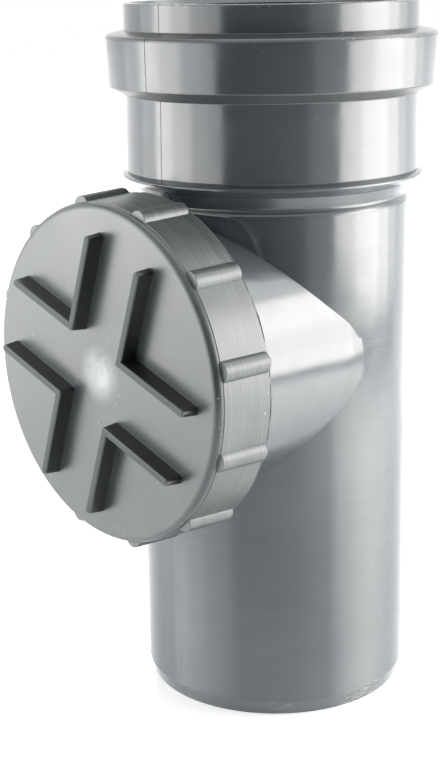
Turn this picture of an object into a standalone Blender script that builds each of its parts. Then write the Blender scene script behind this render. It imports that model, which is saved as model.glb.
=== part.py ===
# Inspection pipe for a 110 mm drain: one moulded access pipe with a spigot below, a
# socket with a rubber lip ring above, and a side branch closed by a screw cap.
# Lengths are in metres and angles in degrees. The pipe stands on its spigot on z = 0,
# the branch points along -Y, and x = y = 0 is the middle of the whole outline.

import math

import bmesh
import bpy
from mathutils import Matrix, Vector

# Barrel and spigot
PIPE_RADIUS = 0.0550
PIPE_WALL = 0.0034
SPIGOT_LENGTH = 0.0909
SPIGOT_CHAMFER_HEIGHT = 0.0060
SPIGOT_CHAMFER_DEPTH = 0.0019
BARREL_ABOVE_BRANCH = 0.0045
BARREL_TOP_DEPTH = 0.0019
BARREL_TOP_FILLET = 0.0018

# Cone and foot ring between the barrel and the socket
CONE_HEIGHT = 0.0049
CONE_DEPTH = 0.0030
FOOT_RING_PROUD = 0.0016
FOOT_RING_SLOPE_HEIGHT = 0.0030
FOOT_RING_HEIGHT = 0.0008
FOOT_GROOVE_DEPTH = 0.0004
FOOT_GROOVE_HEIGHT = 0.0017
STOP_HEIGHT = 0.0057

# Socket, seal bead and lip
SOCKET_FIT = 0.0006
SOCKET_WALL = 0.0035
SOCKET_DRAFT = 0.0004
SOCKET_LENGTH = 0.0295
SEAL_GROOVE_DEPTH = 0.0071
BEAD_WALL = 0.0034
BEAD_DRAFT = 0.0004
BEAD_SLOPE_HEIGHT = 0.0036
BEAD_HEIGHT = 0.0197
BEAD_FILLET = 0.0020
BEAD_TOP_RISE = 0.0017
GROOVE_FLOOR_WALL = 0.0021
GROOVE_ROOF_WALL = 0.0027
GROOVE_FILLET = 0.0005
LIP_WALL = 0.0031
LIP_HEIGHT = 0.0105
LIP_FILLET = 0.0006
LIP_ENTRY = 0.0014
LIP_ENTRY_HEIGHT = 0.0020

# Rubber lip ring in the socket
RING_BACK = 0.0048
RING_LIP_SQUEEZE = 0.0012
RING_LIP_EDGE = 0.0016
RING_LIP_RISE = 0.0060
RING_SHOULDER = 0.0024

# Side branch and its threaded collar, measured outwards from the pipe's axis
BRANCH_RADIUS = 0.0560
BRANCH_WALL = 0.0034
BRANCH_ROOT = 0.0015
BRANCH_STANDOFF = 0.0030
BRANCH_FLARE_FILLET = 0.0020
COLLAR_STEP = 0.0051
COLLAR_WALL = 0.0032
COLLAR_FLARE_LENGTH = 0.0080
COLLAR_BORE_FLARE_DELAY = 0.0010
COLLAR_CHAMFER = 0.0006

# Screw thread of the collar and the cap
THREAD_PITCH = 0.0060
THREAD_DEPTH = 0.0020
THREAD_CREST_WIDTH = 0.0020
THREAD_FLANK_RUN = 0.0008
THREAD_TURNS = 2.0
THREAD_CLEARANCE = 0.0005
THREAD_PLAY_SHIFT = 0.0001
THREAD_RIM_GAP = 0.0006
THREAD_MOUTH_GAP = 0.0010
THREAD_FADE_TURNS = 0.1
THREAD_FADE_FLOOR = 0.1
THREAD_SINK = 0.0004

# Screw cap
CAP_BACK_GAP = 0.0007
CAP_DEPTH = 0.0250
CAP_DISC_THICKNESS = 0.0032
CAP_SKIRT_WALL = 0.00315
CAP_DRAFT = 0.0010
CAP_LEDGE = 0.0004
CAP_LEDGE_DEPTH = 0.0002
CAP_EDGE_FILLET = 0.0029
CAP_MOUTH_CHAMFER = 0.0010
CAP_INNER_FILLET = 0.0005
CAP_REST_TURN = 11.0

# Grip ribs around the skirt
GRIP_COUNT = 12
GRIP_RADIUS = 0.0043
GRIP_PROUD = 0.00245
GRIP_END_FILLET = 0.0018

# Angled ribs on the face of the cap, for a bar or a hand
FACE_RIB_COUNT = 4
FACE_RIB_VERTEX = 0.0193
FACE_RIB_LENGTH = 0.0386
FACE_RIB_TOP_WIDTH = 0.0022
FACE_RIB_HEIGHT = 0.0068
FACE_RIB_DRAFT = 0.0006
FACE_RIB_FOOT_FILLET = 0.0010
FACE_RIB_TOP_BEVEL = 0.0003
FACE_RIB_SINK = 0.0004

# Cap gasket
GASKET_THICKNESS = 0.0030
GASKET_OVERLAP = 0.0003

# Running gap between pieces that seat on each other
SEAT_GAP = 0.0003

# How finely round shapes are divided, and how far a cut runs past a face
ROUND_STEPS = 72
THREAD_STEPS = 48
GRIP_STEPS = 20
ARC_STEPS = 3
OVERRUN = 0.0020
WELD = 0.000001
SHARP_ANGLE = 28.0

PIPE_GREY = (0.198, 0.209, 0.219)
CAP_GREY = (0.223, 0.235, 0.238)
RUBBER_BLACK = (0.012, 0.012, 0.013)

# Radii that follow from the values above
bore_radius = PIPE_RADIUS - PIPE_WALL
neck_radius = PIPE_RADIUS - BARREL_TOP_DEPTH
socket_bore = PIPE_RADIUS + SOCKET_FIT
socket_radius = socket_bore + SOCKET_WALL
groove_radius = socket_bore + SEAL_GROOVE_DEPTH
bead_radius = groove_radius + BEAD_WALL
lip_radius = socket_bore + LIP_WALL
branch_bore = BRANCH_RADIUS - BRANCH_WALL
collar_radius = BRANCH_RADIUS + COLLAR_STEP
collar_bore = collar_radius - COLLAR_WALL
collar_crest = collar_radius + THREAD_DEPTH
cap_bore = collar_crest + THREAD_CLEARANCE
cap_crest = cap_bore - THREAD_DEPTH
skirt_radius = cap_bore + CAP_SKIRT_WALL
skirt_front_radius = skirt_radius - CAP_DRAFT
grip_crest = skirt_radius + GRIP_PROUD

# Heights above the spigot's end
branch_height = SPIGOT_LENGTH + BRANCH_RADIUS
neck_height = branch_height + BRANCH_RADIUS + BARREL_ABOVE_BRANCH
cone_top = neck_height + CONE_HEIGHT
foot_ring_low = cone_top + FOOT_RING_SLOPE_HEIGHT
foot_ring_top = foot_ring_low + FOOT_RING_HEIGHT
socket_foot = foot_ring_top + FOOT_GROOVE_HEIGHT
socket_top = socket_foot + SOCKET_LENGTH
bead_low = socket_top + BEAD_SLOPE_HEIGHT
bead_top = bead_low + BEAD_HEIGHT
lip_foot = bead_top + BEAD_TOP_RISE
rim_height = lip_foot + LIP_HEIGHT

# Reaches along the branch, from the pipe's axis outwards
flare_start = PIPE_RADIUS + BRANCH_STANDOFF
flare_end = flare_start + COLLAR_FLARE_LENGTH
cap_rear = flare_end + CAP_BACK_GAP
cap_face = cap_rear + CAP_DEPTH
cap_inner_face = cap_face - CAP_DISC_THICKNESS
ledge_reach = cap_face - CAP_EDGE_FILLET - CAP_LEDGE_DEPTH
gasket_front = cap_inner_face - SEAT_GAP
gasket_rear = gasket_front - GASKET_THICKNESS
collar_rim = gasket_rear - SEAT_GAP
thread_base_half = THREAD_CREST_WIDTH / 2 + THREAD_FLANK_RUN
thread_length = THREAD_TURNS * THREAD_PITCH
collar_thread_start = collar_rim - THREAD_RIM_GAP - thread_base_half - thread_length
cap_thread_start = cap_rear + THREAD_MOUTH_GAP + thread_base_half
cap_reach = cap_face + FACE_RIB_HEIGHT

# The pipe's axis stands off the middle of the outline, because the cap reaches further
axis_y = (cap_reach - bead_radius) / 2

STANDING = Matrix.Translation((0.0, axis_y, 0.0))
ALONG_BRANCH = Matrix.Translation((0.0, axis_y, branch_height)) @ Matrix.Rotation(math.radians(90.0), 4, "X")


def rounded(corners):
    """Points of an outline whose corners are (radius, height, fillet), each fillet drawn as an arc."""
    points = []
    for index, (radius, height, fillet) in enumerate(corners):
        corner = Vector((radius, height))
        if fillet == 0.0:
            points.append(tuple(corner))
            continue
        before = Vector(corners[index - 1][:2]) - corner
        after = Vector(corners[(index + 1) % len(corners)][:2]) - corner
        half_angle = before.angle(after) / 2
        middle = (before.normalized() + after.normalized()).normalized()
        centre = corner + middle * (fillet / math.sin(half_angle))
        tangent = fillet / math.tan(half_angle)
        start = corner + before.normalized() * tangent - centre
        end = corner + after.normalized() * tangent - centre
        sweep = start.angle_signed(end)
        for step in range(ARC_STEPS + 1):
            arm = Matrix.Rotation(-sweep * step / ARC_STEPS, 2) @ start
            points.append(tuple(centre + arm))
    return points


def finish_mesh(name, bm):
    """A mesh with merged seams and outward faces, made from a bmesh that is then freed."""
    bmesh.ops.remove_doubles(bm, verts=bm.verts, dist=WELD)
    bmesh.ops.dissolve_degenerate(bm, edges=bm.edges, dist=WELD)
    bmesh.ops.recalc_face_normals(bm, faces=bm.faces)
    mesh = bpy.data.meshes.new(name)
    bm.to_mesh(mesh)
    bm.free()
    return mesh


def add_object(name, mesh, place):
    """An object that holds the mesh, at its place in the world."""
    obj = bpy.data.objects.new(name, mesh)
    obj.matrix_world = place
    bpy.context.scene.collection.objects.link(obj)
    return obj


def turned(name, corners, place, closed=False):
    """A solid of revolution about its own Z. An open outline starts and ends on the axis."""
    bm = bmesh.new()
    verts = [bm.verts.new((radius, 0.0, height)) for radius, height in rounded(corners)]
    edges = [bm.edges.new(pair) for pair in zip(verts, verts[1:])]
    if closed:
        edges.append(bm.edges.new((verts[-1], verts[0])))
    bmesh.ops.spin(
        bm,
        geom=verts + edges,
        cent=(0.0, 0.0, 0.0),
        axis=(0.0, 0.0, 1.0),
        angle=math.tau,
        steps=ROUND_STEPS,
        use_merge=True,
    )
    return add_object(name, finish_mesh(name, bm), place)


def thread_ridge(name, root, crest, start, first_turn, place):
    """A right-hand thread along its own Z that sinks into the wall and fades out at both ends."""
    outward = 1.0 if crest > root else -1.0
    floor = root - outward * THREAD_SINK
    floor_half = thread_base_half + THREAD_FLANK_RUN * THREAD_SINK / THREAD_DEPTH
    crest_half = THREAD_CREST_WIDTH / 2
    section = ((floor, -floor_half), (crest, -crest_half), (crest, crest_half), (floor, floor_half))
    bm = bmesh.new()
    face = bm.faces.new([bm.verts.new((radius, 0.0, start + along)) for radius, along in section])
    steps = round(THREAD_TURNS * THREAD_STEPS)
    bmesh.ops.spin(
        bm,
        geom=[face] + list(face.edges) + list(face.verts),
        cent=(0.0, 0.0, 0.0),
        axis=(0.0, 0.0, 1.0),
        dvec=(0.0, 0.0, thread_length / steps),
        angle=math.tau * THREAD_TURNS,
        steps=steps,
    )
    for vert in bm.verts:
        part_turn = math.atan2(vert.co.y, vert.co.x) / math.tau
        along_turns = (vert.co.z - start) / THREAD_PITCH
        turns = part_turn + round(along_turns - part_turn)
        to_end = max(0.0, min(turns, THREAD_TURNS - turns))
        fade = min(1.0, THREAD_FADE_FLOOR + to_end / THREAD_FADE_TURNS)
        radius = vert.co.xy.length
        vert.co.xy *= (floor + (radius - floor) * fade) / radius
    turn = Matrix.Rotation(math.tau * first_turn, 3, "Z")
    bmesh.ops.rotate(bm, verts=bm.verts, cent=(0.0, 0.0, 0.0), matrix=turn)
    return add_object(name, finish_mesh(name, bm), place)


def spun_copies(bm, count):
    """Repeats the whole bmesh count times around Z."""
    bmesh.ops.spin(
        bm,
        geom=list(bm.verts) + list(bm.edges) + list(bm.faces),
        cent=(0.0, 0.0, 0.0),
        axis=(0.0, 0.0, 1.0),
        angle=math.tau * (count - 1) / count,
        steps=count - 1,
        use_duplicate=True,
    )


def grip_ribs():
    """The half-round ribs around the skirt, which lean with its draft and are rounded behind."""
    bm = bmesh.new()
    length = ledge_reach - cap_rear
    place = Matrix.Translation((grip_crest - GRIP_RADIUS, 0.0, cap_rear + length / 2))
    bmesh.ops.create_cone(
        bm,
        cap_ends=True,
        segments=GRIP_STEPS,
        radius1=GRIP_RADIUS,
        radius2=GRIP_RADIUS,
        depth=length,
        matrix=place,
    )
    middle = cap_rear + length / 2
    front_verts = [vert for vert in bm.verts if vert.co.z > middle]
    bmesh.ops.translate(bm, verts=front_verts, vec=(-CAP_DRAFT, 0.0, 0.0))
    rear_edges = [edge for edge in bm.edges if all(vert.co.z < middle for vert in edge.verts)]
    bmesh.ops.bevel(
        bm,
        geom=rear_edges,
        offset=GRIP_END_FILLET,
        affect="EDGES",
        segments=ARC_STEPS,
        profile=0.5,
        material=-1,
    )
    spun_copies(bm, GRIP_COUNT)
    return bm


def face_ribs():
    """The right-angled ribs on the cap's face, with a filleted foot and a bevelled top."""
    arm = Vector((math.cos(math.radians(45.0)), math.sin(math.radians(45.0)), 0.0))
    other = Vector((arm.x, -arm.y, 0.0))
    grow = FACE_RIB_FOOT_FILLET + FACE_RIB_DRAFT + FACE_RIB_TOP_BEVEL
    width = FACE_RIB_TOP_WIDTH + 2 * grow
    length = FACE_RIB_LENGTH + 2 * grow
    vertex = Vector((FACE_RIB_VERTEX, 0.0, cap_face - FACE_RIB_SINK)) - grow * (arm + other)
    bm = bmesh.new()
    outline = (
        vertex,
        vertex + length * other,
        vertex + length * other + width * arm,
        vertex + width * other + width * arm,
        vertex + length * arm + width * other,
        vertex + length * arm,
    )
    top = bm.faces.new([bm.verts.new(point) for point in outline])
    raised = bmesh.ops.extrude_face_region(bm, geom=[top])["geom"]
    top = next(item for item in raised if isinstance(item, bmesh.types.BMFace))
    bmesh.ops.translate(bm, verts=top.verts, vec=(0.0, 0.0, FACE_RIB_SINK))
    fillet = FACE_RIB_FOOT_FILLET
    quarter = math.radians(90.0)
    rises = []
    for index in range(ARC_STEPS):
        low = quarter * index / ARC_STEPS
        high = quarter * (index + 1) / ARC_STEPS
        rises.append((fillet * (math.sin(high) - math.sin(low)), fillet * (math.cos(low) - math.cos(high))))
    straight = FACE_RIB_HEIGHT - FACE_RIB_FOOT_FILLET - FACE_RIB_TOP_BEVEL
    rises.append((FACE_RIB_DRAFT, straight))
    rises.append((FACE_RIB_TOP_BEVEL, FACE_RIB_TOP_BEVEL))
    for inwards, upwards in rises:
        top.normal_update()
        bmesh.ops.inset_region(bm, faces=[top], thickness=inwards, depth=upwards, use_even_offset=True)
    spun_copies(bm, FACE_RIB_COUNT)
    return bm


def turned_with_cap(name, bm, turn):
    """An object made from a bmesh that is built on the cap's axis and turned to where the cap rests."""
    matrix = Matrix.Rotation(math.radians(turn), 3, "Z")
    bmesh.ops.rotate(bm, verts=bm.verts, cent=(0.0, 0.0, 0.0), matrix=matrix)
    return add_object(name, finish_mesh(name, bm), ALONG_BRANCH)


def combine(obj, steps):
    """Adds or cuts each tool in turn, keeps each result as the object's own mesh and deletes the tool."""
    for operation, tool in steps:
        modifier = obj.modifiers.new(tool.name, "BOOLEAN")
        modifier.operation = operation
        modifier.object = tool
        modifier.solver = "EXACT"
        depsgraph = bpy.context.evaluated_depsgraph_get()
        bm = bmesh.new()
        bm.from_mesh(obj.evaluated_get(depsgraph).data)
        obj.modifiers.clear()
        obj.data = finish_mesh(obj.name, bm)
        bpy.data.objects.remove(tool)


def plastic(name, colour, roughness):
    """A plain moulded finish."""
    material = bpy.data.materials.new(name)
    material.use_nodes = True
    shader = material.node_tree.nodes["Principled BSDF"]
    shader.inputs["Base Color"].default_value = (*colour, 1.0)
    shader.inputs["Roughness"].default_value = roughness
    shader.inputs["Metallic"].default_value = 0.0
    return material


def finish(obj, material):
    """Gives a finished piece its material and smooth round faces."""
    obj.data.name = obj.name
    obj.data.materials.clear()
    obj.data.materials.append(material)
    obj.data.shade_smooth()
    obj.data.set_sharp_from_angle(angle=math.radians(SHARP_ANGLE))


def pipe_outside():
    """The outside of the barrel, cone, foot ring, socket, seal bead and lip, as a solid."""
    cone_radius = neck_radius + CONE_DEPTH
    ring_radius = socket_radius + FOOT_RING_PROUD
    corners = [
        (0.0, 0.0, 0.0),
        (PIPE_RADIUS - SPIGOT_CHAMFER_DEPTH, 0.0, 0.0),
        (PIPE_RADIUS, SPIGOT_CHAMFER_HEIGHT, 0.0),
        (PIPE_RADIUS, neck_height - BARREL_TOP_DEPTH, BARREL_TOP_FILLET),
        (neck_radius, neck_height, 0.0),
        (cone_radius, cone_top, 0.0),
        (ring_radius, foot_ring_low, 0.0),
        (ring_radius, foot_ring_top, 0.0),
        (socket_radius - FOOT_GROOVE_DEPTH, foot_ring_top + FOOT_GROOVE_HEIGHT / 2, 0.0),
        (socket_radius, socket_foot, 0.0),
        (socket_radius - SOCKET_DRAFT, socket_top, 0.0),
        (bead_radius - BEAD_DRAFT, bead_low, 0.0),
        (bead_radius, bead_top, BEAD_FILLET),
        (lip_radius, lip_foot, 0.0),
        (lip_radius, rim_height, LIP_FILLET),
        (0.0, rim_height, 0.0),
    ]
    return turned("pipe_body", corners, STANDING)


def pipe_inside():
    """The flow bore, the stop for the next spigot, the socket bore, the seal groove and the mouth."""
    groove_low = socket_top + GROOVE_FLOOR_WALL
    groove_floor = bead_low + GROOVE_FLOOR_WALL
    groove_roof = bead_top - GROOVE_ROOF_WALL
    groove_mouth = lip_foot - GROOVE_ROOF_WALL
    stop_low = cone_top
    entry_slope = LIP_ENTRY / LIP_ENTRY_HEIGHT
    mouth_radius = socket_bore + LIP_ENTRY + OVERRUN * entry_slope
    corners = [
        (0.0, -OVERRUN, 0.0),
        (bore_radius, -OVERRUN, 0.0),
        (bore_radius, stop_low, 0.0),
        (socket_bore, stop_low + STOP_HEIGHT, 0.0),
        (socket_bore, groove_low, 0.0),
        (groove_radius, groove_floor, GROOVE_FILLET),
        (groove_radius, groove_roof, GROOVE_FILLET),
        (socket_bore, groove_mouth, 0.0),
        (socket_bore, rim_height - LIP_ENTRY_HEIGHT, 0.0),
        (mouth_radius, rim_height + OVERRUN, 0.0),
        (0.0, rim_height + OVERRUN, 0.0),
    ]
    return turned("pipe_inside", corners, STANDING)


def branch_outside():
    """The branch tube and the collar that it flares into, as a solid."""
    corners = [
        (0.0, BRANCH_ROOT, 0.0),
        (BRANCH_RADIUS, BRANCH_ROOT, 0.0),
        (BRANCH_RADIUS, flare_start, BRANCH_FLARE_FILLET),
        (collar_radius, flare_end, 0.0),
        (collar_radius, collar_rim - COLLAR_CHAMFER, 0.0),
        (collar_radius - COLLAR_CHAMFER, collar_rim, 0.0),
        (0.0, collar_rim, 0.0),
    ]
    return turned("branch_outside", corners, ALONG_BRANCH)


def branch_inside():
    """The bore of the branch, which leaves an end wall at its root and widens inside the collar."""
    bore_start = BRANCH_ROOT + BRANCH_WALL
    corners = [
        (0.0, bore_start, 0.0),
        (branch_bore, bore_start, 0.0),
        (branch_bore, flare_start + COLLAR_BORE_FLARE_DELAY, 0.0),
        (collar_bore, flare_end + COLLAR_BORE_FLARE_DELAY, 0.0),
        (collar_bore, collar_rim + OVERRUN, 0.0),
        (0.0, collar_rim + OVERRUN, 0.0),
    ]
    return turned("branch_inside", corners, ALONG_BRANCH)


def make_pipe_body():
    """The moulded access pipe with its branch, collar thread, socket and bores."""
    body = pipe_outside()
    collar_thread = thread_ridge(
        "collar_thread", collar_radius, collar_crest, collar_thread_start, 0.0, ALONG_BRANCH
    )
    combine(
        body,
        [
            ("UNION", branch_outside()),
            ("UNION", collar_thread),
            ("DIFFERENCE", pipe_inside()),
            ("DIFFERENCE", branch_inside()),
        ],
    )
    finish(body, plastic("pipe_plastic", PIPE_GREY, 0.28))


def make_socket_seal():
    """The rubber ring that fills the groove of the socket, with its lip towards the bore."""
    groove_width = groove_radius - socket_bore

    def floor_at(radius):
        share = (radius - socket_bore) / groove_width
        return socket_top + GROOVE_FLOOR_WALL + BEAD_SLOPE_HEIGHT * share + SEAT_GAP

    def roof_at(radius):
        share = (radius - socket_bore) / groove_width
        return lip_foot - GROOVE_ROOF_WALL - BEAD_TOP_RISE * share - SEAT_GAP

    back = groove_radius - SEAT_GAP
    front = back - RING_BACK
    tip = PIPE_RADIUS - RING_LIP_SQUEEZE
    tip_height = floor_at(front) + RING_LIP_RISE
    corners = [
        (front, floor_at(front), 0.0),
        (back, floor_at(back), 0.0),
        (back, roof_at(back), 0.0),
        (front, roof_at(front), 0.0),
        (front, roof_at(front) - RING_SHOULDER, 0.0),
        (tip, tip_height, 0.0),
        (tip, tip_height - RING_LIP_EDGE, 0.0),
    ]
    seal = turned("socket_seal", corners, STANDING, closed=True)
    finish(seal, plastic("ring_rubber", RUBBER_BLACK, 0.55))


def make_cap_gasket():
    """The flat rubber ring between the collar's rim and the cap."""
    inner = collar_bore - GASKET_OVERLAP
    outer = cap_bore - SEAT_GAP
    corners = [
        (inner, gasket_rear, 0.0),
        (outer, gasket_rear, 0.0),
        (outer, gasket_front, 0.0),
        (inner, gasket_front, 0.0),
    ]
    gasket = turned("cap_gasket", corners, ALONG_BRANCH, closed=True)
    finish(gasket, plastic("gasket_rubber", RUBBER_BLACK, 0.60))


def cap_outside():
    """The outside of the cap's skirt, edge and face, as a solid."""
    corners = [
        (0.0, cap_rear, 0.0),
        (skirt_radius, cap_rear, 0.0),
        (skirt_front_radius, ledge_reach, 0.0),
        (skirt_front_radius - CAP_LEDGE, ledge_reach, 0.0),
        (skirt_front_radius - CAP_LEDGE, cap_face, CAP_EDGE_FILLET),
        (0.0, cap_face, 0.0),
    ]
    return turned("screw_cap", corners, ALONG_BRANCH)


def cap_inside():
    """The space inside the cap, with a chamfered mouth."""
    corners = [
        (0.0, cap_rear - OVERRUN, 0.0),
        (cap_bore + CAP_MOUTH_CHAMFER + OVERRUN, cap_rear - OVERRUN, 0.0),
        (cap_bore, cap_rear + CAP_MOUTH_CHAMFER, 0.0),
        (cap_bore, cap_inner_face, CAP_INNER_FILLET),
        (0.0, cap_inner_face, 0.0),
    ]
    return turned("cap_inside", corners, ALONG_BRANCH)


def make_screw_cap():
    """The screw cap: skirt with grip ribs, face with angled ribs, and the inner thread."""
    cap = cap_outside()
    between_ribs = 180.0 / GRIP_COUNT
    # The cap's thread runs half a pitch behind the collar's, so that the two mesh at rest
    half_pitch_behind = collar_thread_start - THREAD_PITCH / 2 - THREAD_PLAY_SHIFT
    first_turn = (cap_thread_start - half_pitch_behind) / THREAD_PITCH
    cap_thread = thread_ridge("cap_thread", cap_bore, cap_crest, cap_thread_start, first_turn, ALONG_BRANCH)
    combine(
        cap,
        [
            ("UNION", turned_with_cap("grip_ribs", grip_ribs(), CAP_REST_TURN)),
            ("UNION", turned_with_cap("face_ribs", face_ribs(), CAP_REST_TURN + between_ribs)),
            ("DIFFERENCE", cap_inside()),
            ("UNION", cap_thread),
        ],
    )
    finish(cap, plastic("cap_plastic", CAP_GREY, 0.33))


for old in list(bpy.context.scene.objects):
    bpy.data.objects.remove(old)

make_pipe_body()
make_socket_seal()
make_cap_gasket()
make_screw_cap()
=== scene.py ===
# Inspection pipe for a 110 mm drain, dressed for a studio picture: the moulded pipe, its rubber
# rings and its screw cap as fine surfaces, with their finishes, a pale floor, soft lamps and a camera.
# Lengths are in metres and angles in degrees. The pipe stands on z = 0 and its branch points along -Y.

import math

import bmesh
import bpy
from mathutils import Matrix, Vector, noise


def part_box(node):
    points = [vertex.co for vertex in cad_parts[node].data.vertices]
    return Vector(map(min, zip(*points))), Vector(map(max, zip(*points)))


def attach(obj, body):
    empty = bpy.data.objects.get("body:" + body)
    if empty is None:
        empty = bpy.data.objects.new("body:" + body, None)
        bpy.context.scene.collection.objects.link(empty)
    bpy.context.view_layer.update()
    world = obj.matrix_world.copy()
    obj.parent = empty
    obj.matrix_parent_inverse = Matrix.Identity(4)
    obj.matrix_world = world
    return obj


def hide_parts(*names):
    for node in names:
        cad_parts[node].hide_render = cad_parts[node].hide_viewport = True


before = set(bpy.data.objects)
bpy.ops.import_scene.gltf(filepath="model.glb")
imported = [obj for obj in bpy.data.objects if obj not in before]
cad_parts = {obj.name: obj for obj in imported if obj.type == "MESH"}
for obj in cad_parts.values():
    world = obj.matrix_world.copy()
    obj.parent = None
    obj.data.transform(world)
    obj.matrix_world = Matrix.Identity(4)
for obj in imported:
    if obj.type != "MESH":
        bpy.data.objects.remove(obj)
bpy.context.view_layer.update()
body_low, body_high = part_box("pipe_body")
cap_low, cap_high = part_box("screw_cap")
gasket_low, gasket_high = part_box("cap_gasket")

# Fine edges that a mould leaves: soft corners, the parting line and flash
SOFT_EDGE = 0.0003
SEAM_PROUD = 0.00012
SEAM_FAINT_PROUD = 0.00003
SEAM_WIDTH = 0.00035
RIM_FLASH = 0.00018
CAP_FLASH_REACH = 0.00045
CAP_FLASH_PROUD = 0.00028
FLASH_GRAIN = 0.0022
FLASH_SHORTFALL = 0.4

# Where the frame puts the pipe's axis, the branch's axis, the rim and the largest radius
axis_y = body_high.y - body_high.x
bead_radius = body_high.x - SEAM_PROUD
rim_height = body_high.z
branch_height = (cap_low.z + cap_high.z) / 2
cap_reach = axis_y - cap_low.y
cap_rear = axis_y - cap_high.y
collar_rim = axis_y - body_low.y
gasket_rear = axis_y - gasket_high.y
gasket_front = axis_y - gasket_low.y

# Barrel and spigot
PIPE_RADIUS = 0.0550
PIPE_WALL = 0.0034
SPIGOT_CHAMFER_HEIGHT = 0.0060
SPIGOT_CHAMFER_DEPTH = 0.0019
BARREL_TOP_DEPTH = 0.0019
BARREL_TOP_FILLET = 0.0030
NECK_FILLET = 0.0014

# Socket, measured down from the rim
LIP_HEIGHT = 0.0105
LIP_WALL = 0.0031
LIP_ENTRY = 0.0014
LIP_ENTRY_HEIGHT = 0.0020
BEAD_TOP_RISE = 0.0017
BEAD_TOP_FILLET = 0.0020
BEAD_HEIGHT = 0.0197
BEAD_SLOPE_HEIGHT = 0.0036
BEAD_WALL = 0.0034
BEAD_DRAFT = 0.0004
SOCKET_LENGTH = 0.0295
SOCKET_FIT = 0.0006
SOCKET_WALL = 0.0035
SOCKET_DRAFT = 0.0004
FOOT_GROOVE_HEIGHT = 0.0017
FOOT_GROOVE_DEPTH = 0.0004
FOOT_RING_HEIGHT = 0.0008
FOOT_RING_SLOPE_HEIGHT = 0.0030
FOOT_RING_PROUD = 0.0016
CONE_HEIGHT = 0.0049
CONE_DEPTH = 0.0030
STOP_HEIGHT = 0.0057
GROOVE_FLOOR_WALL = 0.0021
GROOVE_ROOF_WALL = 0.0027

# Rubber lip ring in the socket
RING_BACK = 0.0048
RING_LIP_SQUEEZE = 0.0012
RING_LIP_EDGE = 0.0016
RING_LIP_RISE = 0.0060
RING_SHOULDER = 0.0024

# Side branch and its threaded collar, measured outwards from the pipe's axis
BRANCH_RADIUS = 0.0560
BRANCH_WALL = 0.0034
BRANCH_ROOT = 0.0015
BRANCH_TIP_TAPER = 0.0016
BRANCH_TIP_LENGTH = 0.0100
BRANCH_TIP_FILLET = 0.0300
BRANCH_STANDOFF = 0.0030
COLLAR_STEP = 0.0051
COLLAR_WALL = 0.0032
COLLAR_FLARE_LENGTH = 0.0080
COLLAR_FLARE_FILLET = 0.0020
COLLAR_BORE_FLARE_DELAY = 0.0010
COLLAR_CHAMFER = 0.0006

# Screw thread of the collar and the cap
THREAD_PITCH = 0.0060
THREAD_DEPTH = 0.0020
THREAD_CREST_WIDTH = 0.0020
THREAD_FLANK_RUN = 0.0008
THREAD_TURNS = 2.0
THREAD_CLEARANCE = 0.0005
THREAD_PLAY_SHIFT = 0.0001
THREAD_RIM_GAP = 0.0006
THREAD_MOUTH_GAP = 0.0010
THREAD_FADE_TURNS = 0.1
THREAD_FADE_FLOOR = 0.1
THREAD_SINK = 0.0004
THREAD_BEVEL = 0.0003

# Screw cap
CAP_DISC_THICKNESS = 0.0032
CAP_SKIRT_WALL = 0.00315
CAP_DRAFT = 0.0010
CAP_LEDGE = 0.0003
CAP_LEDGE_DEPTH = 0.0002
CAP_EDGE_FILLET = 0.0029
CAP_MOUTH_CHAMFER = 0.0010
CAP_INNER_FILLET = 0.0005
CAP_REST_TURN = 11.0
GATE_DIMPLE_RADIUS = 0.0055
GATE_DIMPLE_DEPTH = 0.00012

# Grip ribs around the skirt
GRIP_COUNT = 12
GRIP_RADIUS = 0.0043
GRIP_PROUD = 0.00241
GRIP_END_FILLET = 0.0018
GRIP_FRONT_BEVEL = 0.0002

# Angled ribs on the face of the cap
FACE_RIB_COUNT = 4
FACE_RIB_VERTEX = 0.0197
FACE_RIB_LENGTH = 0.0380
FACE_RIB_TOP_WIDTH = 0.0016
FACE_RIB_HEIGHT = 0.0068
FACE_RIB_DRAFT = 0.0006
FACE_RIB_FOOT_FILLET = 0.0001
FACE_RIB_TOP_BEVEL = 0.0006
FACE_RIB_CORNER = 0.0003
FACE_RIB_END_CORNER = 0.0007
FACE_RIB_SINK = 0.0004

# Cap gasket and the running gap between pieces that seat on each other
GASKET_OVERLAP = 0.0003
GASKET_EDGE = 0.0005
SEAT_GAP = 0.0003

# How finely shapes are divided, how far a cut runs past a face, and how close points merge
ROUND_STEPS = 256
THREAD_STEPS = 128
GRIP_STEPS = 48
ARC_STEPS = 7
OVERRUN = 0.0020
WELD = 0.000001
RING_COUNT = 24

# Edges that bend by more than this show as edges, and the rest are shaded smoothly
SHARP_ANGLE = 18.0

# Radii and places that follow
bore_radius = PIPE_RADIUS - PIPE_WALL
neck_radius = PIPE_RADIUS - BARREL_TOP_DEPTH
cone_radius = neck_radius + CONE_DEPTH
socket_bore = PIPE_RADIUS + SOCKET_FIT
socket_radius = socket_bore + SOCKET_WALL
ring_radius = socket_radius + FOOT_RING_PROUD
groove_radius = bead_radius - BEAD_WALL
lip_radius = socket_bore + LIP_WALL
branch_bore = BRANCH_RADIUS - BRANCH_WALL
collar_radius = BRANCH_RADIUS + COLLAR_STEP
collar_bore = collar_radius - COLLAR_WALL
collar_crest = collar_radius + THREAD_DEPTH
cap_bore = collar_crest + THREAD_CLEARANCE
cap_crest = cap_bore - THREAD_DEPTH
skirt_radius = cap_bore + CAP_SKIRT_WALL
skirt_front_radius = skirt_radius - CAP_DRAFT
grip_crest = skirt_radius + GRIP_PROUD

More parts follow.
